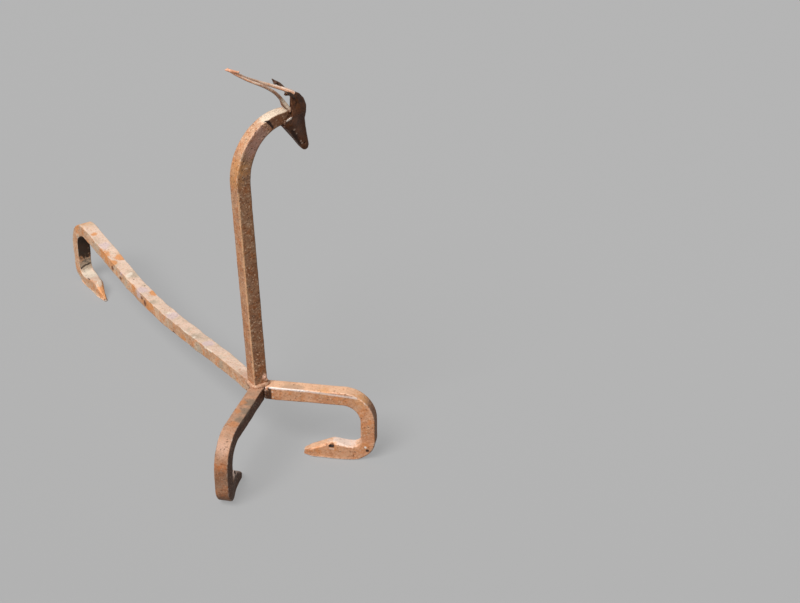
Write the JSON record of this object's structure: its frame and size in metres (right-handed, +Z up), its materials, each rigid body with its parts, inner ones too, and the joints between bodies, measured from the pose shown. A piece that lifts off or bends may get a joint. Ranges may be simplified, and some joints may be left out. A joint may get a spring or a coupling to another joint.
{
  "type": "andiron",
  "caption": "Hand-forged andiron: square log bar on bent feet, with an upright post that bows over into a horned antelope head.",
  "frame": {"origin": "middle of the bounding box, on the floor that the feet stand on", "axes": "+Z up, +Y back along the log bar into the hearth, +X the way the head looks"},
  "size_m": [0.2388, 0.6822, 0.5414],
  "materials": {
    "forged_bar": "rusted, worn bright along the upper edges",
    "head_plate": "dark brown scale with a dull sheen",
    "weld_bead": "rusted, rippled"
  },
  "bodies": {
    "root": {"left_front_leg": "forged_bar", "right_front_leg": "forged_bar", "log_bar": "forged_bar", "post": "forged_bar", "head": "head_plate", "left_horn": "forged_bar", "right_horn": "forged_bar", "left_ear": "head_plate", "right_ear": "head_plate", "post_weld": "weld_bead", "leg_weld": "weld_bead", "left_bar_weld": "weld_bead", "right_bar_weld": "weld_bead", "left_cheek_weld": "weld_bead", "right_cheek_weld": "weld_bead", "left_horn_weld": "weld_bead", "right_horn_weld": "weld_bead"}
  },
  "joints": []
}
